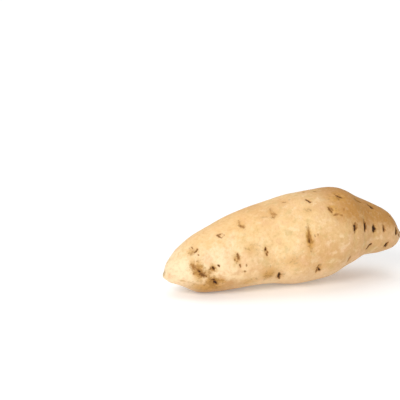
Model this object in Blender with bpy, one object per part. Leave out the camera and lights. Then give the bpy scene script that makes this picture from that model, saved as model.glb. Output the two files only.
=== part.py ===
"""A white-skinned sweet potato, one swollen root lying on its side.

The root grew as one piece, so it is one object. Its long axis lies along X, with the tail at -X and the crown,
where the vine was broken off, at +X. It stands on Z = 0 on two small flat spots, one under each swelling. Around
the root, 0 degrees is the top (+Z), 90 the front (-Y), 180 the underside and 270 the back. Sizes are in
millimetres until the mesh is made.
"""

import math
import random
from dataclasses import dataclass

import bmesh
import bpy
import numpy as np
from mathutils import Matrix, Vector, noise

MM = 0.001

# The body, station by station from the tail's tip to the crown's tip: distance along X, then the middle's
# sideways place and height, then the half width and half height of the section there.
STATIONS = (
    (0.0, -1.5, 16.5, 0.0, 0.0),
    (2.0, -1.5, 17.0, 6.5, 6.5),
    (6.0, -1.5, 18.5, 10.5, 10.0),
    (11.0, -1.5, 20.0, 14.0, 13.5),
    (23.5, -1.0, 21.5, 20.0, 20.5),
    (35.5, -0.5, 24.0, 23.5, 23.5),
    (53.5, 0.5, 28.0, 27.5, 27.0),
    (75.5, 1.0, 31.0, 30.5, 29.5),
    (97.5, 1.0, 33.0, 33.5, 32.5),
    (117.5, 1.0, 35.0, 33.5, 32.0),
    (133.5, 0.5, 38.0, 30.5, 28.5),
    (147.5, 0.0, 37.5, 24.0, 22.0),
    (159.5, -1.0, 35.5, 20.0, 18.0),
    (170.0, -1.5, 33.5, 15.5, 14.0),
    (176.0, -2.0, 30.5, 8.0, 7.0),
    (179.5, -2.0, 29.5, 0.0, 0.0),
)
LENGTH = STATIONS[-1][0]

# Broad swellings (+) and hollows (-) of the body: distance along, degrees around, radius, height.
SWELLINGS = (
    (0.1, 180.0, 2.8, 2.2),
    (141.0, 165.0, 10.0, -2.2),
    (148.5, 8.0, 8.0, -0.6),
    (161.5, 8.0, 9.0, 0.5),
    (81.5, 128.0, 12.0, -0.8),
    (67.5, 172.0, 14.0, -0.7),
    (105.5, 27.0, 9.0, 0.5),
    (62.0, 240.0, 18.0, 0.9),
    (126.0, 262.0, 16.0, -1.1),
)

# Growth made the body uneven: (wavelength, height) of each layer of unevenness.
UNEVENNESS = ((34.0, 0.6), (13.0, 0.22))


@dataclass
class EyeKind:
    """An eye is the scar of a rootlet: a cleft between two lips, in a broad dent. Depths are below the skin."""

    depth: float
    lip: float
    dent_radius: float
    dent: float


EYE_KINDS = {
    "slit": EyeKind(depth=1.5, lip=0.35, dent_radius=6.0, dent=0.6),
    "pit": EyeKind(depth=1.3, lip=0.25, dent_radius=6.5, dent=0.9),
    "smudge": EyeKind(depth=0.5, lip=0.1, dent_radius=5.0, dent=0.35),
    "speck": EyeKind(depth=0.4, lip=0.0, dent_radius=2.5, dent=0.1),
}
# A dent is longer around the root than along it.
DENT_STRETCH = 1.4

# The eyes in front: kind, distance along, degrees around, length around the root, width along it.
FRONT_EYES = (
    ("slit", 131.0, 73.0, 6.5, 2.2),
    ("slit", 140.5, 73.0, 7.5, 1.8),
    ("slit", 149.5, 78.0, 6.0, 2.8),
    ("slit", 158.5, 76.0, 5.0, 2.0),
    ("slit", 170.5, 76.0, 5.0, 2.2),
    ("slit", 146.5, 115.0, 5.5, 1.6),
    ("slit", 161.5, 120.0, 6.5, 2.2),
    ("smudge", 170.0, 136.0, 4.0, 2.0),
    ("smudge", 129.0, 121.0, 5.5, 2.0),
    ("slit", 152.0, 30.0, 5.0, 2.0),
    ("smudge", 141.5, 22.0, 5.0, 3.5),
    ("slit", 168.0, 20.0, 3.5, 2.0),
    ("smudge", 125.5, 25.0, 4.0, 4.0),
    ("smudge", 115.5, 43.0, 6.0, 2.6),
    ("smudge", 118.0, 50.0, 3.0, 3.5),
    ("slit", 102.5, 25.0, 6.0, 1.8),
    ("pit", 96.0, 76.0, 6.0, 2.4),
    ("smudge", 96.5, 63.0, 7.0, 1.4),
    ("smudge", 75.0, 30.0, 5.5, 3.5),
    ("smudge", 86.5, 13.0, 4.0, 4.0),
    ("speck", 112.5, 2.0, 2.0, 2.0),
    ("speck", 105.0, -3.0, 2.0, 2.0),
    ("smudge", 51.5, 30.0, 6.0, 3.0),
    ("smudge", 36.0, 31.0, 3.0, 5.0),
    ("smudge", 18.5, 38.0, 6.0, 3.0),
    ("pit", 19.0, 88.0, 7.5, 3.2),
    ("smudge", 15.5, 73.0, 6.0, 2.6),
    ("pit", 28.5, 88.0, 3.0, 2.6),
    ("pit", 29.0, 116.0, 4.0, 3.6),
    ("speck", 24.0, 103.0, 2.4, 2.0),
    ("speck", 32.5, 85.0, 1.8, 1.8),
    ("smudge", 45.0, 81.0, 5.0, 2.6),
    ("speck", 47.5, 94.0, 2.2, 1.8),
    ("speck", 50.5, 105.0, 1.6, 1.6),
    ("pit", 65.0, 82.0, 5.0, 1.8),
    ("pit", 77.0, 128.0, 5.0, 3.0),
    ("pit", 105.0, 121.0, 5.5, 2.8),
)

# The rows of eyes that lie underneath and behind. Eyes crowd at the crown and lie further apart towards the tail.
HIDDEN_ROWS = (177.0, 236.0, 300.0)
HIDDEN_KINDS = ("slit", "slit", "pit", "smudge")
HIDDEN_LENGTH = 6.0
HIDDEN_WIDTH = 2.4
CROWN_GAP = 13.0
FIRST_STEP = 11.0
STEP_GROWTH = 1.22
TAIL_GAP = 12.0
ROW_WANDER = 9.0
STEP_SPREAD = 0.2
SIZE_SPREAD = 0.2
CLEAR_OF_GROUND = 2.5
SEED = 7

# The dry stub of the vine on the crown, and the scar where the thin tail broke off.
STUB_RADIUS = 2.6
STUB_HEIGHT = 1.1
TAIL_SCAR_RADIUS = 2.4
TAIL_SCAR_DEPTH = 0.5

# The flat spots are cut this high above the lowest point of the body's swellings.
FLAT_CUT = 0.45

RINGS = 260
SEGMENTS = 260
TRIANGLES = 9000

SKIN_COLOUR = (0.80, 0.55, 0.30, 1.0)
SKIN_ROUGHNESS = 0.62


def clear_scene():
    for thing in list(bpy.data.objects):
        bpy.data.objects.remove(thing, do_unlink=True)


def steady_slopes(places, values):
    """Slopes for a cubic through the points that never overshoots them."""
    steps = np.diff(places)
    rises = np.diff(values) / steps
    slopes = np.zeros_like(values)
    slopes[0], slopes[-1] = rises[0], rises[-1]
    same_way = rises[:-1] * rises[1:] > 0
    before, after = 2 * steps[1:] + steps[:-1], steps[1:] + 2 * steps[:-1]
    with np.errstate(divide="ignore", invalid="ignore"):
        middle = (before + after) / (before / rises[:-1] + after / rises[1:])
    slopes[1:-1] = np.where(same_way, middle, 0.0)
    return slopes


def cubic_through(places, values, at):
    """The cubic curve through the points, read at each place in `at`."""
    slopes = steady_slopes(places, values)
    span = np.clip(np.searchsorted(places, at) - 1, 0, len(places) - 2)
    width = places[span + 1] - places[span]
    t = (at - places[span]) / width
    return (
        values[span] * (1 + 2 * t) * (1 - t) ** 2
        + slopes[span] * width * t * (1 - t) ** 2
        + values[span + 1] * t * t * (3 - 2 * t)
        - slopes[span + 1] * width * t * t * (1 - t)
    )


def turn_of(along):
    """The angle along half a circle that a distance along the root stands for, so that round tips stay round."""
    return np.arccos(np.clip(1 - 2 * along / LENGTH, -1, 1))


def body_at(along, around):
    """Points of the smooth body at distances along the root and angles around it, in radians."""
    columns = np.array(STATIONS).T
    turns = turn_of(columns[0])
    side, height, half_width, half_height = (
        cubic_through(turns, column, turn_of(along)) for column in columns[1:]
    )
    return np.stack(
        [along - LENGTH / 2, side - half_width * np.sin(around), height + half_height * np.cos(around)],
        axis=-1,
    )


def spot_frame(along, degrees):
    """A spot on the body, with the directions along the root and around it there."""
    around = math.radians(degrees)
    nudge = 0.01
    here, on, back, ahead, behind = body_at(
        np.array([along, along + nudge, along - nudge, along, along]),
        np.array([around, around, around, around + nudge, around - nudge]),
    )
    lengthways = (on - back) / np.linalg.norm(on - back)
    crossways = ahead - behind
    crossways -= lengthways * (crossways @ lengthways)
    return here, lengthways, crossways / np.linalg.norm(crossways)


def bell(distance, radius):
    return np.exp(-((distance / radius) ** 2))


def hidden_eyes():
    """The eyes of the hidden rows, each like one in front, from the crown to the tail of each row."""
    draw = random.Random(SEED)
    for row in HIDDEN_ROWS:
        along = LENGTH - CROWN_GAP * draw.uniform(1, 1 + STEP_SPREAD)
        step = FIRST_STEP
        while along > TAIL_GAP:
            degrees = row + draw.uniform(-ROW_WANDER, ROW_WANDER)
            kind = draw.choice(HIDDEN_KINDS)
            size = draw.uniform(1 - SIZE_SPREAD, 1 + SIZE_SPREAD)
            middle, _, _ = spot_frame(along, degrees)
            if middle[2] > CLEAR_OF_GROUND:
                yield kind, along, degrees, HIDDEN_LENGTH * size, HIDDEN_WIDTH * size
            along -= step * draw.uniform(1 - STEP_SPREAD, 1 + STEP_SPREAD)
            step *= STEP_GROWTH


def eye_relief(points, kind, along, degrees, length, width):
    """How far one eye moves each point of the body out (+) or in (-). s runs along the root and t around it."""
    shape = EYE_KINDS[kind]
    middle, lengthways, crossways = spot_frame(along, degrees)
    offset = points - middle
    near = np.linalg.norm(offset, axis=1) < 3 * shape.dent_radius
    s = offset[near] @ lengthways
    t = offset[near] @ crossways
    ends = np.exp(-((2 * t / length) ** 4))
    cleft = -shape.depth * ends * bell(s, width / 2)
    lips = shape.lip * ends * (bell(s - width, width / 2) + bell(s + width, width / 2))
    dent = -shape.dent * bell(np.hypot(s, t / DENT_STRETCH), shape.dent_radius)
    relief = np.zeros(len(points))
    relief[near] = cleft + lips + dent
    return relief


def unevenness(points):
    """Slow ups and downs of the skin, and finer ones."""
    relief = np.zeros(len(points))
    for wavelength, height in UNEVENNESS:
        relief += height * np.array([noise.noise(Vector(point / wavelength)) for point in points])
    return relief


def relief_of(points):
    """How far each point of the smooth body moves out along its normal."""
    relief = unevenness(points)
    for along, degrees, radius, height in SWELLINGS:
        middle, _, _ = spot_frame(along, degrees)
        relief += height * bell(np.linalg.norm(points - middle, axis=1), radius)
    for eye in (*FRONT_EYES, *hidden_eyes()):
        relief += eye_relief(points, *eye)
    crown = np.linalg.norm(points - points[points[:, 0].argmax()], axis=1)
    relief += STUB_HEIGHT * np.exp(-((crown / STUB_RADIUS) ** 4))
    tail = np.linalg.norm(points - points[points[:, 0].argmin()], axis=1)
    relief -= TAIL_SCAR_DEPTH * np.exp(-((tail / TAIL_SCAR_RADIUS) ** 4))
    return relief


def shaped_mesh():
    """A sphere with its poles on X, drawn into the body and then given the relief, in millimetres."""
    mesh = bpy.data.meshes.new("sweet_potato")
    ball = bmesh.new()
    bmesh.ops.create_uvsphere(
        ball,
        u_segments=SEGMENTS,
        v_segments=RINGS,
        radius=LENGTH / 2,
        matrix=Matrix.Rotation(math.radians(90), 4, "Y"),
    )
    ball.to_mesh(mesh)
    ball.free()
    sphere = np.empty(len(mesh.vertices) * 3)
    mesh.vertices.foreach_get("co", sphere)
    sphere = sphere.reshape(-1, 3)
    along = np.clip(sphere[:, 0] + LENGTH / 2, 0, LENGTH)
    body = body_at(along, np.arctan2(-sphere[:, 1], sphere[:, 2]))
    mesh.vertices.foreach_set("co", body.ravel())
    mesh.update()
    normals = np.empty(len(mesh.vertices) * 3)
    mesh.vertex_normals.foreach_get("vector", normals)
    skin = body + normals.reshape(-1, 3) * relief_of(body)[:, None]
    mesh.vertices.foreach_set("co", skin.ravel())
    mesh.update()
    return mesh


def thin_out(root):
    """Merges the small faces of the flatter stretches, so that most faces are left to the eyes."""
    bpy.context.view_layer.objects.active = root
    thinner = root.modifiers.new("thin_out", "DECIMATE")
    thinner.ratio = TRIANGLES / (2 * SEGMENTS * (RINGS - 1))
    bpy.ops.object.modifier_apply(modifier=thinner.name)


def cut_flat_spots(mesh):
    """Cuts the two lowest swellings off at one height, and sets the root on Z = 0 with its middle over the origin."""
    shape = bmesh.new()
    shape.from_mesh(mesh)
    ground = min(vertex.co.z for vertex in shape.verts) + FLAT_CUT
    bmesh.ops.bisect_plane(
        shape,
        geom=[*shape.verts, *shape.edges, *shape.faces],
        plane_co=(0, 0, ground),
        plane_no=(0, 0, -1),
        clear_outer=True,
    )
    rims = [edge for edge in shape.edges if edge.is_boundary]
    bmesh.ops.holes_fill(shape, edges=rims)
    bmesh.ops.triangulate(shape, faces=[face for face in shape.faces if len(face.verts) > 3])
    low = Vector([min(vertex.co[axis] for vertex in shape.verts) for axis in range(3)])
    high = Vector([max(vertex.co[axis] for vertex in shape.verts) for axis in range(3)])
    base = Vector(((low.x + high.x) / 2, (low.y + high.y) / 2, ground))
    bmesh.ops.translate(shape, verts=shape.verts, vec=-base)
    bmesh.ops.scale(shape, verts=shape.verts, vec=(MM, MM, MM))
    shape.to_mesh(mesh)
    shape.free()


def skin_material():
    material = bpy.data.materials.new("cream_skin")
    material.use_nodes = True
    shader = material.node_tree.nodes["Principled BSDF"]
    shader.inputs["Base Color"].default_value = SKIN_COLOUR
    shader.inputs["Roughness"].default_value = SKIN_ROUGHNESS
    shader.inputs["Metallic"].default_value = 0.0
    return material


def main():
    clear_scene()
    collection = bpy.data.collections.new("sweet_potato")
    bpy.context.scene.collection.children.link(collection)
    mesh = shaped_mesh()
    root = bpy.data.objects.new("sweet_potato", mesh)
    collection.objects.link(root)
    thin_out(root)
    cut_flat_spots(mesh)
    mesh.materials.append(skin_material())
    mesh.shade_smooth()


main()
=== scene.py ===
"""The looks of one white-skinned sweet potato, lying on its side on a pale surface in soft studio light.

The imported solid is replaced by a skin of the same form, drawn from the same stations and eyes, fine enough
to show the lips and cracks of each eye. Dry stubs of rootlets stand in some eyes, and the dry stub of the
vine on the crown.

The root's long axis lies along X, with the tail at -X and the crown at +X. Around the root, 0 degrees is
the top (+Z), 90 the front (-Y), 180 the underside and 270 the back. Sizes are in millimetres until a mesh
is made.
"""
import math
import random
from dataclasses import dataclass

import bpy
import numpy as np
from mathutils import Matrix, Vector, noise


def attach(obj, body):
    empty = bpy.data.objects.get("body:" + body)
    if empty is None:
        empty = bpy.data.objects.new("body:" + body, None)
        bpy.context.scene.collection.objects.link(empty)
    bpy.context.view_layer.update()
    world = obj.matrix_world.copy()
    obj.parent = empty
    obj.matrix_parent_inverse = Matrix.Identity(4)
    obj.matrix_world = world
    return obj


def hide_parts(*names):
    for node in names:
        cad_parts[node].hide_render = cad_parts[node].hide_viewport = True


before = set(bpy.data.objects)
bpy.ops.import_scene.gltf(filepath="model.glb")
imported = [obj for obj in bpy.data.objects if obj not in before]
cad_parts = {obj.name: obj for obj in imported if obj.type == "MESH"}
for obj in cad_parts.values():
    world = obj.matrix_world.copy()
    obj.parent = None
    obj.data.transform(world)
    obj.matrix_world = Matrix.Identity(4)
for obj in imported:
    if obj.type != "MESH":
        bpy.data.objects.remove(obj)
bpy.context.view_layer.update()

MM = 0.001

# The body, station by station from the tail's tip to the crown's tip: distance along X, then the middle's
# sideways place and height, then the half width and half height of the section there.
STATIONS = (
    (0.0, -1.5, 16.5, 0.0, 0.0),
    (2.0, -1.5, 17.0, 6.5, 6.5),
    (6.0, -1.5, 18.5, 10.5, 10.0),
    (11.0, -1.5, 20.0, 14.0, 13.5),
    (23.5, -1.0, 21.5, 20.0, 20.5),
    (35.5, -0.5, 24.0, 23.5, 23.5),
    (53.5, 0.5, 28.0, 27.5, 27.0),
    (75.5, 1.0, 31.0, 30.5, 29.5),
    (97.5, 1.0, 33.0, 33.5, 32.5),
    (117.5, 1.0, 35.0, 33.5, 32.0),
    (133.5, 0.5, 38.0, 30.5, 28.5),
    (147.5, 0.0, 37.5, 24.0, 22.0),
    (159.5, -1.0, 35.5, 20.0, 18.0),
    (170.0, -1.5, 33.5, 15.5, 14.0),
    (176.0, -2.0, 30.5, 8.0, 7.0),
    (179.5, -2.0, 29.5, 0.0, 0.0),
)
LENGTH = STATIONS[-1][0]

# Broad swellings (+) and hollows (-) of the body: distance along, degrees around, radius, height.
SWELLINGS = (
    (0.1, 180.0, 2.8, 2.2),
    (141.0, 165.0, 10.0, -2.2),
    (148.5, 8.0, 8.0, -0.6),
    (161.5, 8.0, 9.0, 0.5),
    (81.5, 128.0, 12.0, -0.8),
    (67.5, 172.0, 14.0, -0.7),
    (105.5, 27.0, 9.0, 0.5),
    (62.0, 240.0, 18.0, 0.9),
    (126.0, 262.0, 16.0, -1.1),
)

# Growth made the body uneven: the wavelength and height of each layer, and of the finer ones of the skin.
UNEVENNESS = ((34.0, 0.6), (13.0, 0.22))
SKIN_UNEVENNESS = ((5.5, 0.07), (2.4, 0.03))

# The tan shoulder, partly browned skin and partly painted shade where the top of the neck faces away from the
# light: its middle in degrees around, how many degrees it reaches to each side of that by distance along, and
# the radius that turns these degrees into millimetres. Nearer the tail its reach is so far below zero that no
# blotch makes up for it.
SHOULDER_MIDDLE = 8.0
SHOULDER_REACH = ((110.0, 16.0), (117.0, 46.0), (124.0, 59.0), (132.0, 60.0), (165.0, 57.0), (180.0, 54.0))
SHOULDER_RADIUS = 25.0
NO_REACH = -46.0


@dataclass
class EyeKind:
    """The form of an eye, the scar of a rootlet: a cleft between two raised lips, in a broad dent."""

    depth: float
    lip: float
    dent_radius: float
    dent: float


EYE_KINDS = {
    "slit": EyeKind(depth=0.7, lip=0.35, dent_radius=6.0, dent=0.6),
    "pit": EyeKind(depth=0.6, lip=0.25, dent_radius=6.5, dent=0.9),
    "smudge": EyeKind(depth=0.2, lip=0.1, dent_radius=5.0, dent=0.35),
    "speck": EyeKind(depth=0.1, lip=0.0, dent_radius=2.5, dent=0.1),
}
# A dent is longer around the root than along it.
DENT_STRETCH = 1.4
# How far from its middle an eye's relief is worked out, in radii of its dent, and how far the stain around it
# spreads, in its own lengths and widths.
EYE_REACH = 3.0
STAIN_SPREAD = 1.3
# Noise makes the eyes ragged: its two wavelengths, how far each moves the cleft, in widths of the eye, how
# far it moves the ends, in lengths of the eye, and by what share it changes the lips.
RAGGED_WAVELENGTH = 1.6
WANDER_WAVELENGTH = 3.0
CLEFT_RAGGED = 0.22
CLEFT_WANDER = 0.3
ENDS_RAGGED = 0.12
LIPS_RAGGED = 0.5

# The eyes in front: kind, distance along, degrees around, length around the root, width along it, and how
# strong the stain around it is.
FRONT_EYES = (
    ("slit", 131.0, 73.0, 6.5, 2.2, 0.2),
    ("slit", 140.5, 73.0, 7.5, 1.8, 0.2),
    ("slit", 149.5, 78.0, 6.0, 2.8, 0.3),
    ("slit", 158.5, 76.0, 5.0, 2.0, 0.2),
    ("slit", 170.5, 76.0, 5.0, 2.2, 0.2),
    ("smudge", 146.5, 115.0, 5.5, 1.6, 0.3),
    ("slit", 161.5, 120.0, 6.5, 2.2, 0.2),
    ("smudge", 170.0, 136.0, 4.0, 2.0, 0.2),
    ("smudge", 129.0, 121.0, 5.5, 2.0, 0.3),
    ("smudge", 152.0, 30.0, 5.0, 2.0, 0.4),
    ("smudge", 141.5, 22.0, 5.0, 3.5, 0.5),
    ("slit", 168.0, 20.0, 3.5, 2.0, 0.3),
    ("smudge", 125.5, 25.0, 4.0, 4.0, 0.7),
    ("smudge", 115.5, 43.0, 6.0, 2.6, 0.5),
    ("smudge", 118.0, 50.0, 3.0, 3.5, 0.4),
    ("smudge", 102.5, 25.0, 6.0, 1.8, 0.2),
    ("pit", 96.0, 76.0, 6.0, 2.4, 0.9),
    ("smudge", 96.5, 63.0, 7.0, 1.4, 0.3),
    ("smudge", 75.0, 30.0, 5.5, 3.5, 0.4),
    ("smudge", 86.5, 13.0, 4.0, 4.0, 0.3),
    ("speck", 112.5, 2.0, 2.0, 2.0, 0.2),
    ("speck", 105.0, -3.0, 2.0, 2.0, 0.2),
    ("smudge", 51.5, 30.0, 6.0, 3.0, 0.4),
    ("smudge", 36.0, 31.0, 3.0, 5.0, 0.1),
    ("smudge", 18.5, 38.0, 6.0, 3.0, 0.3),
    ("smudge", 19.0, 88.0, 7.5, 3.2, 0.8),
    ("smudge", 15.5, 73.0, 6.0, 2.6, 0.6),
    ("pit", 28.5, 88.0, 3.0, 2.6, 0.7),
    ("pit", 29.0, 116.0, 4.0, 3.6, 0.8),
    ("speck", 24.0, 103.0, 2.4, 2.0, 0.4),
    ("speck", 32.5, 85.0, 1.8, 1.8, 0.0),
    ("smudge", 45.0, 81.0, 5.0, 2.6, 0.3),
    ("speck", 47.5, 94.0, 2.2, 1.8, 0.2),
    ("speck", 50.5, 105.0, 1.6, 1.6, 0.1),
    ("pit", 65.0, 82.0, 5.0, 1.8, 0.45),
    ("pit", 77.0, 128.0, 5.0, 3.0, 0.5),
    ("pit", 105.0, 121.0, 5.5, 2.8, 0.5),
)

# The dry cracks and torn chips of the eyes in front. Each runs from one spot to another, both as distance
# along and degrees around, and has a width and a darkness.
FRONT_CRACKS = (
    # The close row of eyes on the neck, towards the crown.
    (131.7, 67.0, 130.7, 81.0, 1.6, 0.6),
    (131.3, 71.5, 130.9, 77.5, 3.0, 1.0),
    (132.8, 69.0, 132.8, 74.0, 1.0, 0.5),
    (140.9, 62.0, 140.7, 71.0, 1.4, 0.6),
    (140.8, 69.0, 140.7, 81.0, 2.5, 1.0),
    (149.3, 72.0, 149.6, 84.0, 2.7, 1.0),
    (150.4, 76.0, 150.5, 80.0, 2.0, 0.9),
    (158.2, 69.0, 158.8, 80.0, 2.9, 0.78),
    (170.9, 67.0, 170.3, 86.0, 2.8, 1.0),
    (173.4, 82.0, 175.4, 90.0, 1.8, 0.9),
    # The eyes below that row.
    (144.2, 118.0, 147.9, 110.0, 2.0, 1.0),
    (160.5, 127.0, 163.0, 111.0, 1.5, 0.85),
    (160.7, 124.0, 161.9, 119.0, 2.8, 1.0),
    (170.0, 137.0, 172.2, 143.0, 1.6, 0.8),
    (128.8, 128.0, 129.5, 118.0, 1.7, 0.5),
    # The eyes above it, on the tan shoulder.
    (150.8, 22.0, 153.6, 29.0, 3.2, 1.0),
    (138.8, 24.0, 144.0, 24.0, 2.8, 0.55),
    (167.3, 25.0, 168.0, 31.0, 2.4, 1.0),
    (124.0, 20.0, 127.2, 26.0, 1.9, 0.8),
    (123.4, 16.0, 124.4, 19.0, 1.4, 0.4),
    (124.2, 26.0, 124.4, 30.0, 1.4, 0.45),
    (114.3, 39.0, 115.8, 46.0, 2.5, 0.6),
    (116.0, 40.0, 117.0, 44.0, 1.1, 0.45),
    (116.9, 51.0, 119.7, 50.0, 2.4, 0.45),
    (121.3, 52.0, 122.7, 54.0, 1.6, 0.45),
    (125.2, 45.0, 124.8, 48.0, 1.3, 0.4),
    (147.2, 42.0, 146.7, 47.0, 1.2, 0.35),
    # The eyes of the thick middle.
    (101.0, 20.0, 103.2, 26.0, 1.8, 0.95),
    (96.3, 59.0, 96.5, 68.0, 1.4, 0.3),
    (95.8, 68.0, 96.4, 75.0, 3.4, 0.42),
    (95.8, 75.0, 95.9, 80.0, 2.0, 0.78),
    (100.1, 71.0, 100.2, 74.0, 1.3, 0.35),
    (102.3, 70.0, 102.3, 73.0, 1.3, 0.35),
    (104.1, 129.5, 104.2, 119.5, 1.4, 0.6),
    (104.2, 119.5, 104.8, 114.5, 1.2, 0.5),
    (104.2, 119.5, 106.7, 125.5, 1.4, 0.6),
    (103.5, 124.5, 106.5, 124.5, 1.2, 0.45),
    (105.9, 124.5, 106.5, 126.0, 2.0, 1.0),
    (105.2, -6.0, 104.8, -4.0, 1.4, 0.7),
    (111.4, 1.0, 112.7, 2.0, 1.4, 0.7),
    (85.0, 12.0, 87.0, 14.0, 2.2, 0.35),
    (76.6, 123.0, 78.4, 139.0, 1.9, 0.75),
    (77.0, 127.0, 77.5, 135.0, 2.6, 0.92),
    (75.0, 18.0, 74.2, 26.0, 3.0, 0.24),
    (74.2, 28.0, 76.3, 32.0, 4.0, 0.34),
    (74.0, 34.0, 74.4, 37.0, 2.6, 0.3),
    (66.7, 30.0, 70.0, 32.0, 3.2, 0.2),
    (64.6, 76.0, 64.9, 80.0, 1.8, 0.8),
    (65.8, 82.0, 66.2, 84.0, 1.3, 0.65),
    (65.2, 85.0, 65.6, 88.0, 1.5, 0.7),
    # The eyes of the narrowing half, down to the tail.
    (51.2, 20.0, 50.8, 28.0, 2.6, 0.26),
    (50.9, 31.0, 52.5, 36.0, 3.8, 0.42),
    (45.2, 75.0, 45.7, 83.0, 2.5, 0.6),
    (43.1, 81.0, 43.4, 84.0, 1.4, 0.5),
    (46.5, 92.0, 47.0, 96.0, 1.8, 0.55),
    (51.0, 94.0, 51.2, 97.0, 1.3, 0.42),
    (49.8, 105.0, 50.8, 106.0, 1.6, 0.5),
    (34.4, 28.0, 36.5, 38.0, 1.7, 0.6),
    (34.8, 28.0, 37.0, 30.0, 1.6, 0.55),
    (37.5, 29.0, 39.0, 36.0, 1.1, 0.3),
    (36.8, 38.0, 39.0, 36.0, 1.1, 0.3),
    (32.0, 84.0, 32.6, 87.0, 1.3, 0.85),
    (28.1, 86.0, 28.9, 91.0, 1.8, 0.9),
    (26.6, 85.0, 26.9, 90.0, 1.3, 0.55),
    (30.2, 119.0, 31.7, 124.0, 3.2, 1.0),
    (28.2, 113.0, 30.4, 115.0, 2.4, 0.75),
    (23.8, 102.0, 24.3, 105.0, 1.6, 0.65),
    (15.0, 72.0, 18.2, 86.0, 4.4, 0.42),
    (18.2, 86.0, 20.0, 94.0, 3.6, 0.62),
    (18.8, 89.0, 19.6, 91.0, 1.8, 1.0),
    (20.0, 95.0, 22.2, 101.0, 4.8, 0.68),
    (15.5, 93.0, 15.9, 96.0, 1.3, 0.5),
    (16.8, 26.0, 17.0, 31.0, 1.5, 0.6),
    (17.8, 43.0, 19.8, 40.0, 1.8, 0.65),
    (19.4, 52.0, 19.8, 55.0, 1.2, 0.55),
)

# Broad olive-brown stains: distance along, degrees around, radius along, radius around, strength.
STAINS = (
    (18.0, 90.0, 4.5, 8.0, 0.72),
    (9.5, 121.0, 2.5, 1.2, 0.5),
    (25.0, 97.0, 6.0, 7.0, 0.5),
    (27.7, 84.0, 3.0, 3.5, 0.5),
    (44.5, 82.0, 4.0, 6.5, 0.5),
    (98.5, 39.0, 6.0, 6.0, 0.35),
    (33.5, 118.0, 5.0, 4.0, 0.6),
    (29.0, 118.0, 6.0, 6.0, 0.85),
    (26.0, 132.0, 13.0, 6.0, 0.6),
    (68.5, 119.0, 6.5, 6.5, 0.64),
    (55.0, 128.0, 9.0, 5.0, 0.45),
    (54.0, 72.0, 7.0, 6.0, 0.5),
    (83.0, 102.0, 7.0, 6.0, 0.4),
    (141.0, 23.0, 5.0, 4.0, 0.5),
    (15.5, 38.0, 4.5, 4.5, 0.5),
    (122.0, 24.0, 6.0, 6.0, 0.58),
    (116.5, 43.0, 4.5, 6.0, 0.58),
    (74.0, 24.0, 4.5, 5.0, 0.35),
)

# The rows of eyes that lie underneath and behind, in degrees around. Eyes crowd at the crown and lie further
# apart towards the tail. The spreads are shares of a step and of a size.
HIDDEN_ROWS = (177.0, 236.0, 300.0)
HIDDEN_KINDS = ("slit", "slit", "pit", "smudge")
HIDDEN_LENGTH = 6.0
HIDDEN_WIDTH = 2.4
CROWN_GAP = 13.0
FIRST_STEP = 11.0
STEP_GROWTH = 1.22
TAIL_GAP = 12.0
ROW_WANDER = 9.0
STEP_SPREAD = 0.2
SIZE_SPREAD = 0.2
CLEAR_OF_GROUND = 2.5
SEED = 7
HIDDEN_STAIN = 0.4
KIND_DARKNESS = {"slit": 1.0, "pit": 0.95, "smudge": 0.6}
# The crack of a hidden eye: how far it leans and how wide it is, in widths of the eye, and half its length,
# in lengths of the eye.
HIDDEN_CRACK_LEAN = 0.5
HIDDEN_CRACK_WIDTH = 0.65
HIDDEN_CRACK_HALF = 0.4
# The torn chips around it: how many at most, how far they lie from its middle along the root, in widths of
# the eye, and around it, in lengths of the eye, their lengths and widths, and how dark they are beside the
# crack.
MOST_CHIPS = 3
CHIPS_ALONG = 1.1
CHIPS_AROUND = 0.6
CHIP_LENGTHS = (0.5, 2.0)
CHIP_WIDTHS = (0.8, 1.3)
CHIP_DARKNESS = 0.7

# Thin creases that run around the root through the eyes of the neck: distance along, the degrees from which
# and to which each runs, and its depth.
CREASES = (
    (131.5, 48.0, 118.0, 0.22),
    (140.8, 42.0, 128.0, 0.28),
    (149.8, 52.0, 112.0, 0.25),
    (158.8, 40.0, 140.0, 0.20),
    (146.8, 98.0, 150.0, 0.16),
    (165.0, 20.0, 95.0, 0.16),
    (152.5, 5.0, 50.0, 0.18),
    (96.0, 50.0, 100.0, 0.14),
    (137.0, 205.0, 262.0, 0.22),
    (149.0, 215.0, 320.0, 0.22),
    (160.0, 190.0, 260.0, 0.20),
    (127.0, 270.0, 330.0, 0.16),
)
CREASE_WIDTH = 1.1
# How far noise moves the creases along the root, and the noise's wavelength.
CREASE_STRAY = 1.4
CREASE_STRAY_WAVELENGTH = 9.0
# Another noise breaks them where it is below the first of these values, and leaves them whole above the
# second.
CREASE_BREAKS = (-0.35, 0.25)
CREASE_BREAKS_WAVELENGTH = 7.0

# How deep the cracks are cut into the clefts of the eyes.
CRACK_DEPTH = 0.8
# How far noise bends the cracks, its wavelength, by what share they narrow towards their ends, and by what
# share their width varies.
CRACK_STRAY = 0.35
CRACK_STRAY_WAVELENGTH = 1.3
CRACK_TAPER = 0.35
CRACK_RAGGED = 0.45
# The darkened skin around each crack: how dark it is beside the crack itself, and how many times as wide.
CRACK_HALO = 0.3
HALO_WIDTH = 2.1

# The swelling that carries the dry stub of the vine on the crown, and the scar where the thin tail broke off.
STUB_RADIUS = 2.6
STUB_HEIGHT = 1.1
TAIL_SCAR_RADIUS = 2.4
TAIL_SCAR_DEPTH = 0.5
# The cork on both ends: how far it spreads, and how strong it is at the tail beside the crown.
CROWN_CORK_RADIUS = 4.0
TAIL_CORK_RADIUS = 3.5
TAIL_CORK = 0.9

# The flat spots that the root rests on lie this high above the body's lowest point.
FLAT_CUT = 0.45

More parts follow.
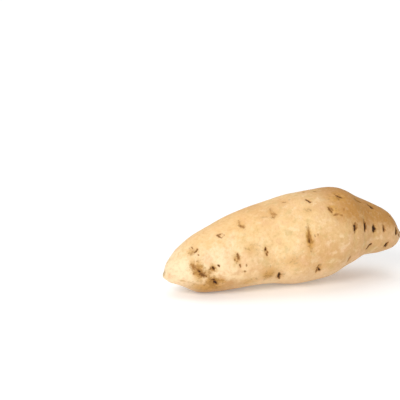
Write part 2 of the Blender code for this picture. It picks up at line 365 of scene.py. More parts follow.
# The dry stub of the vine: a rod that flares towards its foot, partly sunk in the crown, drooping a little.
VINE_SIDES = 36
VINE_CUTS = 2
VINE_RADIUS = 1.8
VINE_FLARE = 0.9
VINE_LENGTH = 4.0
VINE_SHOWN = 1.6
VINE_DROOP = 0.12
# Its pith has fallen in behind a rim. The slope down to it and the ring around its middle are shares of the
# rim.
VINE_RIM = 0.5
VINE_SLOPE = 0.3
VINE_RING = 0.5
VINE_HOLLOW = 0.7
# Its fibres: how high they stand, how closely they follow each other around, how little their pattern
# changes along the vine, and the wavelength of their torn ends.
VINE_FIBRE = 0.16
FIBRE_CLOSENESS = 3.0
FIBRE_STRETCH = 0.1
TORN_WAVELENGTH = 0.9
# A face whose normal rises more than this is the upper end of the vine while it stands upright.
LOOKS_UP = 0.9

# Dry rootlet stubs that stand in some eyes: distance along, degrees around, and degrees of lean.
ROOTLETS = (
    (149.2, 78.0, 18.0),
    (160.6, 121.0, 25.0),
    (30.4, 117.0, -25.0),
)
# Behind: in every how many eyes one stands, and how many degrees it leans at most.
HIDDEN_ROOTLET_EVERY = 3
HIDDEN_ROOTLET_LEAN = 30.0
ROOTLET_SIDES = 10
ROOTLET_CUTS = 3
ROOTLET_RADIUS = 0.6
ROOTLET_TIP = 0.2
ROOTLET_LENGTH = 2.4
ROOTLET_SUNK = 2.0
ROOTLET_RAGGED = 0.12

# The skin's ball, how far from the middle of a usual eye and from a crack's edge its faces are made finer,
# and the area in square millimetres at which a face is fine enough.
RINGS = 190
SEGMENTS = 112
EYE_ZONE = 3.5
CRACK_ZONE = 0.45
SMALL_FACE = 0.2

# The floor is so wide, in metres, that its edge stays out of the picture. Its glow grows from the first of
# the two distances to the second, so that the floor is white as far as it is seen.
FLOOR_SIZE = 100.0
FLOOR_ROUGHNESS = 0.7
FLOOR_GLOW = 0.68
GLOW_RISES = 250.0
GLOW_FULL = 1200.0

# How strongly the white room lights the root, beside how bright it looks.
ROOM_LIGHT = 0.38
# The soft boxes: name, place and size in metres, and power in watts.
SOFT_BOXES = (
    ("key", (-1.0, -0.9, 0.9), 0.8, 15),
    ("fill", (0.9, -1.2, 0.6), 1.4, 4),
    ("overhead", (-0.1, 0.4, 1.5), 1.6, 12),
)

# How the photo was taken: degrees around from the front towards the crown, so that below zero is towards the
# tail, degrees above the surface, distance, lens, sensor and the picture's width in pixels. The target is a
# spot above the middle of the root's footprint: its height, and its place in the picture.
CAMERA_AZIMUTH = -22.0
CAMERA_ELEVATION = 16.0
CAMERA_DISTANCE = 840.0
LENS = 105.0
SENSOR = 36.0
PICTURE = 400
TARGET_HEIGHT = 30.0
TARGET_PIXEL = (283.7, 242.1)


def steady_slopes(places, values):
    """Slopes for a cubic through the points that never overshoots them."""
    steps = np.diff(places)
    rises = np.diff(values) / steps
    slopes = np.zeros_like(values)
    slopes[0], slopes[-1] = rises[0], rises[-1]
    same_way = rises[:-1] * rises[1:] > 0
    before, after = 2 * steps[1:] + steps[:-1], steps[1:] + 2 * steps[:-1]
    with np.errstate(divide="ignore", invalid="ignore"):
        middle = (before + after) / (before / rises[:-1] + after / rises[1:])
    slopes[1:-1] = np.where(same_way, middle, 0.0)
    return slopes


def cubic_through(places, values, at):
    """The cubic curve through the points, read at each place in `at`."""
    slopes = steady_slopes(places, values)
    span = np.clip(np.searchsorted(places, at) - 1, 0, len(places) - 2)
    width = places[span + 1] - places[span]
    t = (at - places[span]) / width
    return (
        values[span] * (1 + 2 * t) * (1 - t) ** 2
        + slopes[span] * width * t * (1 - t) ** 2
        + values[span + 1] * t * t * (3 - 2 * t)
        - slopes[span + 1] * width * t * t * (1 - t)
    )


def turn_of(along):
    """The angle on half a circle that a distance along the root stands for, so that round tips stay round."""
    return np.arccos(np.clip(1 - 2 * along / LENGTH, -1, 1))


def body_at(along, around):
    """Points of the smooth body at distances along the root and angles around it, in radians."""
    columns = np.array(STATIONS).T
    turns = turn_of(columns[0])
    side, height, half_width, half_height = (
        cubic_through(turns, column, turn_of(along)) for column in columns[1:]
    )
    return np.stack(
        [along - LENGTH / 2, side - half_width * np.sin(around), height + half_height * np.cos(around)],
        axis=-1,
    )


def spot_frame(along, degrees):
    """A spot on the body, with the directions along the root and around it there."""
    around = math.radians(degrees)
    # In millimetres along the root and in radians around it.
    nudge = 0.01
    here, on, back, ahead, behind = body_at(
        np.array([along, along + nudge, along - nudge, along, along]),
        np.array([around, around, around, around + nudge, around - nudge]),
    )
    lengthways = (on - back) / np.linalg.norm(on - back)
    crossways = ahead - behind
    crossways -= lengthways * (crossways @ lengthways)
    return here, lengthways, crossways / np.linalg.norm(crossways)


def bell(distance, radius):
    """1 at no distance, falling softly to about a third at the radius."""
    return np.exp(-((distance / radius) ** 2))


def plateau(distance, radius):
    """Like a bell, but level in the middle and steeper at the edge."""
    return np.exp(-((distance / radius) ** 4))


def smooth_step(value, low, high):
    """0 below `low`, 1 above `high`, and a smooth rise between them."""
    t = np.clip((value - low) / (high - low), 0, 1)
    return t * t * (3 - 2 * t)


def hidden_eyes():
    """The eyes of the hidden rows, each like one in front, from the crown to the tail of each row."""
    draw = random.Random(SEED)
    for row in HIDDEN_ROWS:
        along = LENGTH - CROWN_GAP * draw.uniform(1, 1 + STEP_SPREAD)
        step = FIRST_STEP
        while along > TAIL_GAP:
            degrees = row + draw.uniform(-ROW_WANDER, ROW_WANDER)
            kind = draw.choice(HIDDEN_KINDS)
            size = draw.uniform(1 - SIZE_SPREAD, 1 + SIZE_SPREAD)
            middle, _, _ = spot_frame(along, degrees)
            if middle[2] > CLEAR_OF_GROUND:
                length, width = HIDDEN_LENGTH * size, HIDDEN_WIDTH * size
                yield kind, along, degrees, length, width, HIDDEN_STAIN
            along -= step * draw.uniform(1 - STEP_SPREAD, 1 + STEP_SPREAD)
            step *= STEP_GROWTH


HIDDEN_EYES = tuple(hidden_eyes())
EYES = (*FRONT_EYES, *HIDDEN_EYES)


def crack_lines():
    """Every crack as its two ends on the smooth body, its width and its darkness."""
    for along, degrees, to_along, to_degrees, width, darkness in FRONT_CRACKS:
        start, end = body_at(np.array([along, to_along]), np.radians([degrees, to_degrees]))
        yield start, end, width, darkness
    draw = random.Random(SEED)
    for kind, along, degrees, length, width, _ in HIDDEN_EYES:
        middle, lengthways, crossways = spot_frame(along, degrees)
        darkness = KIND_DARKNESS[kind]
        lean = draw.uniform(-HIDDEN_CRACK_LEAN, HIDDEN_CRACK_LEAN) * width * lengthways
        half = HIDDEN_CRACK_HALF * length * crossways + lean
        yield middle - half, middle + half, HIDDEN_CRACK_WIDTH * width, darkness
        for _ in range(draw.randrange(MOST_CHIPS + 1)):
            off_along = draw.uniform(-CHIPS_ALONG, CHIPS_ALONG) * width
            off_around = draw.uniform(-CHIPS_AROUND, CHIPS_AROUND) * length
            chip = middle + off_along * lengthways + off_around * crossways
            chip_end = chip + draw.uniform(*CHIP_LENGTHS) * crossways
            yield chip, chip_end, draw.uniform(*CHIP_WIDTHS), CHIP_DARKNESS * darkness


def waves(points, wavelength, shift=0.0):
    """Smooth noise between about -1 and 1 with features of one size. Another shift gives another noise."""
    away = Vector((shift, shift, shift))
    return np.array([noise.noise(Vector(point / wavelength) + away) for point in points])


def body_middle(along):
    """The middle of the body's section at a distance along it."""
    front, back = body_at(np.array([along, along]), np.radians([90.0, 270.0]))
    return (front + back) / 2


def read_points(mesh):
    """Where the mesh's points are, one row each."""
    values = np.empty(len(mesh.vertices) * 3)
    mesh.vertices.foreach_get("co", values)
    return values.reshape(-1, 3)


def write_points(mesh, points):
    """Moves the mesh's points to new places, one row each."""
    mesh.vertices.foreach_set("co", points.ravel())
    mesh.update()


def read_normals(mesh):
    """Which way the surface faces at each point, one row each."""
    values = np.empty(len(mesh.vertices) * 3)
    mesh.vertex_normals.foreach_get("vector", values)
    return values.reshape(-1, 3)


def add_attribute(mesh, name, values):
    """Gives each point of the mesh a number that a finish reads."""
    mesh.attributes.new(name, "FLOAT", "POINT").data.foreach_set("value", values)


def along_and_around(ball):
    """What each point of the ball stands for: its distance along the root and its angle around it."""
    unit = ball / np.linalg.norm(ball, axis=1)[:, None]
    return LENGTH / 2 * (1 + unit[:, 0]), np.arctan2(-unit[:, 1], unit[:, 2])


def distance_to_line(points, start, end):
    """How far each point is from the line between two ends, and its place on that line, from 0 to 1."""
    line = end - start
    t = np.clip((points - start) @ line / (line @ line), 0, 1)
    return np.linalg.norm(points - start - t[:, None] * line, axis=1), t


def near_eyes(points):
    """Whether each point of the smooth body is in or beside an eye."""
    near = np.zeros(len(points), bool)
    for _, along, degrees, length, *_ in EYES:
        middle, _, _ = spot_frame(along, degrees)
        near |= np.linalg.norm(points - middle, axis=1) < EYE_ZONE * length / HIDDEN_LENGTH
    return near


def near_cracks(points):
    """Whether each point of the smooth body is on or beside a crack."""
    near = np.zeros(len(points), bool)
    for start, end, width, _ in crack_lines():
        distance, _ = distance_to_line(points, start, end)
        near |= distance < width / 2 + CRACK_ZONE
    return near


def make_finer(skin, near):
    """Cuts each face of the ball into four where `near` says so of its place on the body, unless small."""
    mesh = skin.data
    ball = read_points(mesh)
    write_points(mesh, body_at(*along_and_around(ball)))
    areas = np.empty(len(mesh.polygons))
    mesh.polygons.foreach_get("area", areas)
    centres = np.empty(len(mesh.polygons) * 3)
    mesh.polygons.foreach_get("center", centres)
    write_points(mesh, ball)
    bpy.context.tool_settings.mesh_select_mode = (False, False, True)
    mesh.polygons.foreach_set("select", near(centres.reshape(-1, 3)) & (areas > SMALL_FACE))
    bpy.ops.object.mode_set(mode="EDIT")
    bpy.ops.mesh.subdivide(number_cuts=1)
    bpy.ops.mesh.select_all(action="DESELECT")
    bpy.ops.object.mode_set(mode="OBJECT")


def eye_marks(points, ragged):
    """The relief of all eyes, and how strongly the skin around them is stained."""
    relief, stain = np.zeros((2, len(points)))
    wander = waves(points, WANDER_WAVELENGTH, shift=20)
    for kind, along, degrees, length, width, staining in EYES:
        shape = EYE_KINDS[kind]
        middle, lengthways, crossways = spot_frame(along, degrees)
        offset = points - middle
        near = np.linalg.norm(offset, axis=1) < EYE_REACH * shape.dent_radius
        stray = CLEFT_RAGGED * ragged[near] + CLEFT_WANDER * wander[near]
        s = offset[near] @ lengthways + width * stray
        t = offset[near] @ crossways + ENDS_RAGGED * length * ragged[near]
        ends = plateau(t, length / 2)
        relief[near] -= ends * shape.depth * bell(s, width / 2)
        lips = bell(s - width, width / 2) + bell(s + width, width / 2)
        relief[near] += shape.lip * ends * lips * (1 + LIPS_RAGGED * ragged[near])
        relief[near] -= shape.dent * bell(np.hypot(s, t / DENT_STRETCH), shape.dent_radius)
        around_it = staining * bell(np.hypot(s / width, t / length), STAIN_SPREAD)
        stain[near] = np.maximum(stain[near], around_it)
    for along, degrees, radius_along, radius_around, strength in STAINS:
        middle, lengthways, crossways = spot_frame(along, degrees)
        offset = points - middle
        distance = np.hypot(offset @ lengthways / radius_along, offset @ crossways / radius_around)
        stain = np.maximum(stain, strength * bell(distance, 1.0))
    return relief, stain


def crack_marks(points, ragged):
    """How dark the cracks make each point: 1 in the middle of the darkest, and fading past the edges."""
    dark = np.zeros(len(points))
    strays = [waves(points, CRACK_STRAY_WAVELENGTH, shift=shift) for shift in (11, 12, 13)]
    points = points + CRACK_STRAY * np.stack(strays, axis=-1)
    for start, end, width, darkness in crack_lines():
        distance, t = distance_to_line(points, start, end)
        taper = 1 - CRACK_TAPER * (2 * t - 1) ** 2
        half_width = width / 2 * taper * (1 + CRACK_RAGGED * ragged)
        core = bell(distance, half_width)
        halo = CRACK_HALO * bell(distance, HALO_WIDTH * half_width)
        dark = np.maximum(dark, darkness * np.maximum(core, halo))
    return dark


def crease_relief(points, degrees_around):
    """Thin creases around the neck, broken here and there and fading out at both ends, and where they lie,
    for the painted shade in them.
    """
    relief, mark = np.zeros((2, len(points)))
    stray = CREASE_STRAY * waves(points, CREASE_STRAY_WAVELENGTH)
    whole = smooth_step(waves(points, CREASE_BREAKS_WAVELENGTH, shift=50), *CREASE_BREAKS)
    for along, start, end, depth in CREASES:
        middle, half = (start + end) / 2, (end - start) / 2
        turned = (degrees_around - middle + 180) % 360 - 180
        s = points[:, 0] + LENGTH / 2 - along + stray
        line = bell(s, CREASE_WIDTH) * plateau(turned, half) * whole
        relief -= depth * line
        mark = np.maximum(mark, line * depth)
    return relief, mark / max(crease[-1] for crease in CREASES)


def inside_shoulder(along, degrees_around):
    """How far inside the tan shoulder each point is, in millimetres, and below zero outside it."""
    places, reaches = np.array(SHOULDER_REACH).T
    turned = np.abs((degrees_around - SHOULDER_MIDDLE + 180) % 360 - 180)
    spare = np.interp(along, places, reaches, left=NO_REACH) - turned
    return np.radians(spare) * SHOULDER_RADIUS


def body_relief(points):
    """How far each point of the smooth body moves out along its normal for the broad shape."""
    relief = sum(height * waves(points, wavelength) for wavelength, height in UNEVENNESS)
    for along, degrees, radius, height in SWELLINGS:
        middle, _, _ = spot_frame(along, degrees)
        relief += height * bell(np.linalg.norm(points - middle, axis=1), radius)
    return relief


def end_distances(points):
    """How far each point is from the crown's tip and from the tail's tip."""
    crown = np.linalg.norm(points - points[points[:, 0].argmax()], axis=1)
    tail = np.linalg.norm(points - points[points[:, 0].argmin()], axis=1)
    return crown, tail


def make_skin():
    """The skin: a ball with its poles on X, drawn into the body, with the relief and marks of its eyes."""
    bpy.ops.object.select_all(action="DESELECT")
    bpy.ops.mesh.primitive_uv_sphere_add(
        segments=SEGMENTS,
        ring_count=RINGS,
        radius=LENGTH / 2,
        rotation=(0, math.radians(90), 0),
    )
    skin = bpy.context.object
    skin.name = skin.data.name = "skin"
    bpy.ops.object.transform_apply(rotation=True)
    make_finer(skin, lambda points: near_eyes(points) | near_cracks(points))
    make_finer(skin, near_cracks)
    mesh = skin.data
    along, around = along_and_around(read_points(mesh))
    body = body_at(along, around)
    write_points(mesh, body)
    normals = read_normals(mesh)
    ragged = waves(body, RAGGED_WAVELENGTH)
    relief, stain = eye_marks(body, ragged)
    dark = crack_marks(body, ragged)
    crease, crease_shade = crease_relief(body, np.degrees(around))
    crown, tail = end_distances(body)
    relief += body_relief(body) + crease - CRACK_DEPTH * dark
    relief += sum(height * waves(body, wavelength) for wavelength, height in SKIN_UNEVENNESS)
    relief += STUB_HEIGHT * plateau(crown, STUB_RADIUS)
    relief -= TAIL_SCAR_DEPTH * plateau(tail, TAIL_SCAR_RADIUS)
    points = body + normals * relief[:, None]
    ground = points[:, 2].min() + FLAT_CUT
    points[:, 2] = np.maximum(points[:, 2], ground)
    middle = (points.min(0) + points.max(0)) / 2
    origin = np.array([middle[0], middle[1], ground])
    write_points(mesh, (points - origin) * MM)
    mesh.shade_smooth()
    add_attribute(mesh, "crack", dark)
    add_attribute(mesh, "stain", stain)
    add_attribute(mesh, "crease", crease_shade)
    add_attribute(mesh, "along", along)
    add_attribute(mesh, "shoulder", inside_shoulder(along, np.degrees(around)))
    add_attribute(mesh, "under", -np.cos(around))
    cork = np.maximum(bell(crown, CROWN_CORK_RADIUS), TAIL_CORK * bell(tail, TAIL_CORK_RADIUS))
    add_attribute(mesh, "cork", cork)
    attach(skin, "root")
    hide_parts("sweet_potato")
    return skin, origin


def finish_piece(piece, name, place, outwards):
    """Names a small piece that was made standing at the origin, and sets it on the root."""
    piece.name = piece.data.name = name
    piece.location = Vector(place) * MM
    piece.rotation_euler = Vector(outwards).to_track_quat("Z", "Y").to_euler()
    bpy.ops.object.select_all(action="DESELECT")
    piece.select_set(True)
    bpy.context.view_layer.objects.active = piece
    bpy.ops.object.transform_apply(location=True, rotation=True)
    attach(piece, "root")


def select_faces(mesh, chosen):
    """Selects the faces that `chosen` says yes to, and nothing else."""
    bpy.context.tool_settings.mesh_select_mode = (False, False, True)
    mesh.polygons.foreach_set("select", [chosen(face) for face in mesh.polygons])


def make_vine_stub(skin):
    """The broken end of the vine: a rod with a rim around its fallen pith, and torn fibres along it."""
    bpy.ops.object.select_all(action="DESELECT")
    bpy.ops.mesh.primitive_cylinder_add(
        vertices=VINE_SIDES, radius=VINE_RADIUS * MM, depth=VINE_LENGTH * MM
    )
    stub = bpy.context.object
    mesh = stub.data
    select_faces(mesh, lambda face: face.normal.z > LOOKS_UP)
    bpy.ops.object.mode_set(mode="EDIT")
    bpy.ops.mesh.inset(thickness=VINE_RIM * MM)
    bpy.ops.mesh.inset(thickness=VINE_SLOPE * VINE_RIM * MM, depth=-VINE_HOLLOW * MM)
    bpy.ops.mesh.inset(thickness=VINE_RING * VINE_RIM * MM)
    bpy.ops.mesh.select_all(action="SELECT")
    bpy.ops.mesh.subdivide(number_cuts=VINE_CUTS)
    bpy.ops.mesh.select_all(action="DESELECT")
    bpy.ops.object.mode_set(mode="OBJECT")
    write_points(mesh, weathered_vine(read_points(mesh) / MM) * MM)
    mesh.shade_smooth()
    skin_points = read_points(skin.data) / MM
    tip = skin_points[skin_points[:, 0].argmax()]
    outwards = np.array([1.0, 0.0, -VINE_DROOP])
    place = tip + outwards * (VINE_SHOWN - VINE_LENGTH / 2)
    finish_piece(stub, "vine_stub", place, outwards)
    return stub


def weathered_vine(points):
    """The points of the upright rod with a flared foot, fibres along its bark and a torn upper end."""
    height = points[:, 2]
    radius = np.hypot(points[:, 0], points[:, 1])
    around = np.arctan2(points[:, 1], points[:, 0])
    drawn_out = np.stack([np.cos(around), np.sin(around), FIBRE_STRETCH * height], axis=-1)
    fibres = waves(drawn_out * FIBRE_CLOSENESS, 1.0)
    torn = waves(points, TORN_WAVELENGTH, shift=5)
    flare = VINE_FLARE * smooth_step(-height, -VINE_LENGTH / 2, VINE_LENGTH / 2)
    grown = radius + flare + VINE_FIBRE * (2 * fibres + torn)
    lift = 2 * VINE_FIBRE * smooth_step(height, 0.0, VINE_LENGTH / 2) * (fibres + torn)
    bark = radius > VINE_RADIUS / 2
    weathered = points.copy()
    weathered[bark, :2] *= (grown[bark] / radius[bark])[:, None]
    weathered[:, 2] += lift
    return weathered


def rootlet_spots():
    """Where the rootlets stand: the listed spots in front, and some eyes of the two rows behind."""
    yield from ROOTLETS
    draw = random.Random(SEED + 1)
    behind = [eye for eye in HIDDEN_EYES if eye[2] > HIDDEN_ROWS[1] - ROW_WANDER]
    for _, along, degrees, *_ in behind[::HIDDEN_ROOTLET_EVERY]:
        yield along, degrees, draw.uniform(-HIDDEN_ROOTLET_LEAN, HIDDEN_ROOTLET_LEAN)


def make_rootlets(origin):
    """Short dry rootlet stubs: one is modelled, and a copy with its own mesh stands in each chosen eye."""
    bpy.ops.object.select_all(action="DESELECT")
    bpy.ops.mesh.primitive_cone_add(
        vertices=ROOTLET_SIDES,
        radius1=ROOTLET_RADIUS * MM,
        radius2=ROOTLET_TIP * MM,
        depth=ROOTLET_LENGTH * MM,
    )
    model = bpy.context.object
    bpy.ops.object.mode_set(mode="EDIT")
    bpy.ops.mesh.subdivide(number_cuts=ROOTLET_CUTS)
    bpy.ops.transform.vertex_random(offset=ROOTLET_RAGGED * MM, uniform=1.0, seed=SEED)
    bpy.ops.object.mode_set(mode="OBJECT")
    model.data.shade_smooth()
    rootlets = []
    for number, (along, degrees, lean) in enumerate(rootlet_spots()):
        middle, lengthways, crossways = spot_frame(along, degrees)
        straight_out = np.cross(lengthways, crossways)
        straight_out *= np.sign(straight_out @ (middle - body_middle(along)))
        slope = math.radians(lean)
        outwards = math.cos(slope) * straight_out + math.sin(slope) * crossways
        place = middle - origin + outwards * (ROOTLET_LENGTH / 2 - ROOTLET_SUNK)
        rootlet = model.copy()
        rootlet.data = model.data.copy()
        bpy.context.collection.objects.link(rootlet)
        finish_piece(rootlet, f"rootlet_{number + 1}", place, outwards)
        rootlets.append(rootlet)
    bpy.data.objects.remove(model)
    return rootlets


class Wire:
    """An output of a node. Sums and products of wires add Math nodes."""

    def __init__(self, nodes, socket):
        self.nodes = nodes
        self.socket = socket

    def __add__(self, other):
        return self.nodes.math("ADD", self, other)

    def __radd__(self, other):
        return self.nodes.math("ADD", other, self)

    def __sub__(self, other):
        return self.nodes.math("SUBTRACT", self, other)

    def __rsub__(self, other):
        return self.nodes.math("SUBTRACT", other, self)

    def __mul__(self, other):
        return self.nodes.math("MULTIPLY", self, other)

    def __rmul__(self, other):
        return self.nodes.math("MULTIPLY", other, self)


class Nodes:
    """The nodes of a material or of the world, in the making."""

    def __init__(self, tree):
        self.tree = tree

    def node(self, kind, settings=None, sockets=None, output=0):
        """Adds a node, sets it, then fills its sockets with values or wires. Returns one output as a wire."""
        node = self.tree.nodes.new(kind)
        for name, value in (settings or {}).items():
            setattr(node, name, value)
        for key, value in (sockets or {}).items():
            self.feed(node.inputs[key], value)
        return Wire(self, node.outputs[output])

    def feed(self, socket, value):
        """Fills an input with a wire or with a value."""
        if isinstance(value, Wire):
            self.tree.links.new(value.socket, socket)
        else:
            socket.default_value = value

    def math(self, operation, first, second):
        """One sum or product of two wires or numbers."""
        return self.node("ShaderNodeMath", {"operation": operation}, {0: first, 1: second})


class Finish(Nodes):
    """A material in the making, with the few kinds of node that the root's finishes share."""

    def __init__(self, name):
        self.material = bpy.data.materials.new(name)
        self.material.use_nodes = True
        super().__init__(self.material.node_tree)
        self.shader = self.tree.nodes["Principled BSDF"]

    def place(self):
        """Object coordinates in millimetres."""
        coordinates = self.node("ShaderNodeTexCoord", output="Object")
        return self.node("ShaderNodeVectorMath", {"operation": "SCALE"}, {0: coordinates, "Scale": 1 / MM})

    def stretched(self, place, scale, shift=(0, 0, 0)):
        """The place with its pattern squeezed or moved, so that two noises of one size differ."""
        return self.node("ShaderNodeMapping", sockets={"Vector": place, "Scale": scale, "Location": shift})

    def noise(self, place, size, detail=2.0, roughness=0.5):
        """Noise from 0 to 1 with features of about `size` millimetres."""
        sockets = {"Vector": place, "Scale": 1 / size, "Detail": detail, "Roughness": roughness}
        return self.node("ShaderNodeTexNoise", sockets=sockets)

    def attribute(self, name):
        """A number that the mesh has at each point."""
        return self.node("ShaderNodeAttribute", {"attribute_name": name}, output="Fac")

    def step(self, value, low, high):
        """0 up to `low`, 1 from `high` on, and smooth between them. `high` may be the smaller of the two."""
        sockets = {"Value": value, "From Min": low, "From Max": high}
        return self.node("ShaderNodeMapRange", {"interpolation_type": "SMOOTHSTEP"}, sockets)

    def mix(self, amount, under, over):
        """One colour over another. The amount of the upper one is from 0 to 1."""
        sockets = {0: amount, 6: under, 7: over}
        return self.node("ShaderNodeMix", {"data_type": "RGBA"}, sockets, output=2)

    def bump(self, height, depth, below=None):
        """A bump of `depth` millimetres, on top of the one below it."""
        sockets = {"Height": height, "Distance": depth * MM, "Strength": 1.0}
        if below:
            sockets["Normal"] = below
        return self.node("ShaderNodeBump", sockets=sockets)

    def dress(self, *pieces):
        """Gives the pieces this finish and no other."""
        for piece in pieces:
            piece.data.materials.clear()
            piece.data.materials.append(self.material)


def colour(red, green, blue):
    """A colour as seen in a picture, from 0 to 255 a channel, in linear light."""
    channels = [value / 255 for value in (red, green, blue)]
    return (*[c / 12.92 if c <= 0.04045 else ((c + 0.055) / 1.055) ** 2.4 for c in channels], 1.0)


# The sound skin, from its cream to the tan of its shoulder.
CREAM = colour(236, 199, 143)
PALE = colour(247, 223, 183)
BEIGE = colour(214, 167, 108)
NECK = colour(203, 157, 101)
# Painted shade on the top edge near the tail, in gold.
SHADE_GOLD = colour(224, 172, 98)
PINK = colour(225, 178, 133)
OLIVE = colour(196, 166, 102)
TAN = colour(181, 126, 54)
# The eyes, from the tinge around a stain to the dark middle of a crack.
TINGE = colour(200, 146, 56)
STAIN = colour(156, 108, 40)
EYE_TAN = colour(158, 106, 42)
CRACK_BROWN = colour(108, 66, 20)
CRACK_DARK = colour(46, 24, 8)
# The dry ends of the root, the vine and the rootlets.
CORK = colour(158, 132, 92)
VINE_BROWN = colour(150, 112, 70)
VINE_DARK = colour(84, 56, 32)
ROOTLET_BROWN = colour(98, 64, 34)
# The set: the room, the floor, and the glow of the floor beside the root.
WHITE = colour(255, 255, 255)
FLOOR_WHITE = colour(240, 240, 240)
GLOW_NEAR = colour(142, 142, 142)

# Where along the root a colour of the skin sets in: it starts at the first distance and is full at the
# second.
PALE_TAIL = (80.0, 15.0)
TAN_NECK = (92.0, 132.0)
# The tan below the narrowing half is partly stain and partly painted shade of the underside.
TAN_BELOW_TAIL = (80.0, 30.0)
TAN_BELOW_TIP = (5.0, 26.0)
# The paler underside of the thick middle is a painted reflection of the white floor.
FLOOR_REFLECTION_TAIL = (45.0, 75.0)
FLOOR_REFLECTION_NECK = (150.0, 115.0)
# The gold on top near the tail is painted shade where the top edge turns away from the light.
SHADED_TOP_TAIL = (85.0, 50.0)
SHADED_TOP_TIP = (2.0, 22.0)
SHOULDER_ALONG = (105.0, 131.0)
# How far inside the edge of the tan shoulder, browned skin and painted shade, its colour sets in, in the same
# way.
SHOULDER_EDGE = (-6.5, 7.0)

# The blotches and then the flecks of the skin, each over the ones before it: its noise, the two values of
# that noise between which its colour sets in, the colour, and how much of it shows at most.
BLOTCHES = (
    ("blotch", 0.5, 0.68, PINK, 0.55),
    ("blotch", 0.48, 0.3, OLIVE, 0.5),
    ("patch", 0.5, 0.7, PALE, 0.4),
    ("patch", 0.48, 0.3, BEIGE, 0.3),
)
FLECKS = (
    ("mottle", 0.48, 0.72, PALE, 0.18),
    ("mottle", 0.5, 0.3, TAN, 0.22),
)


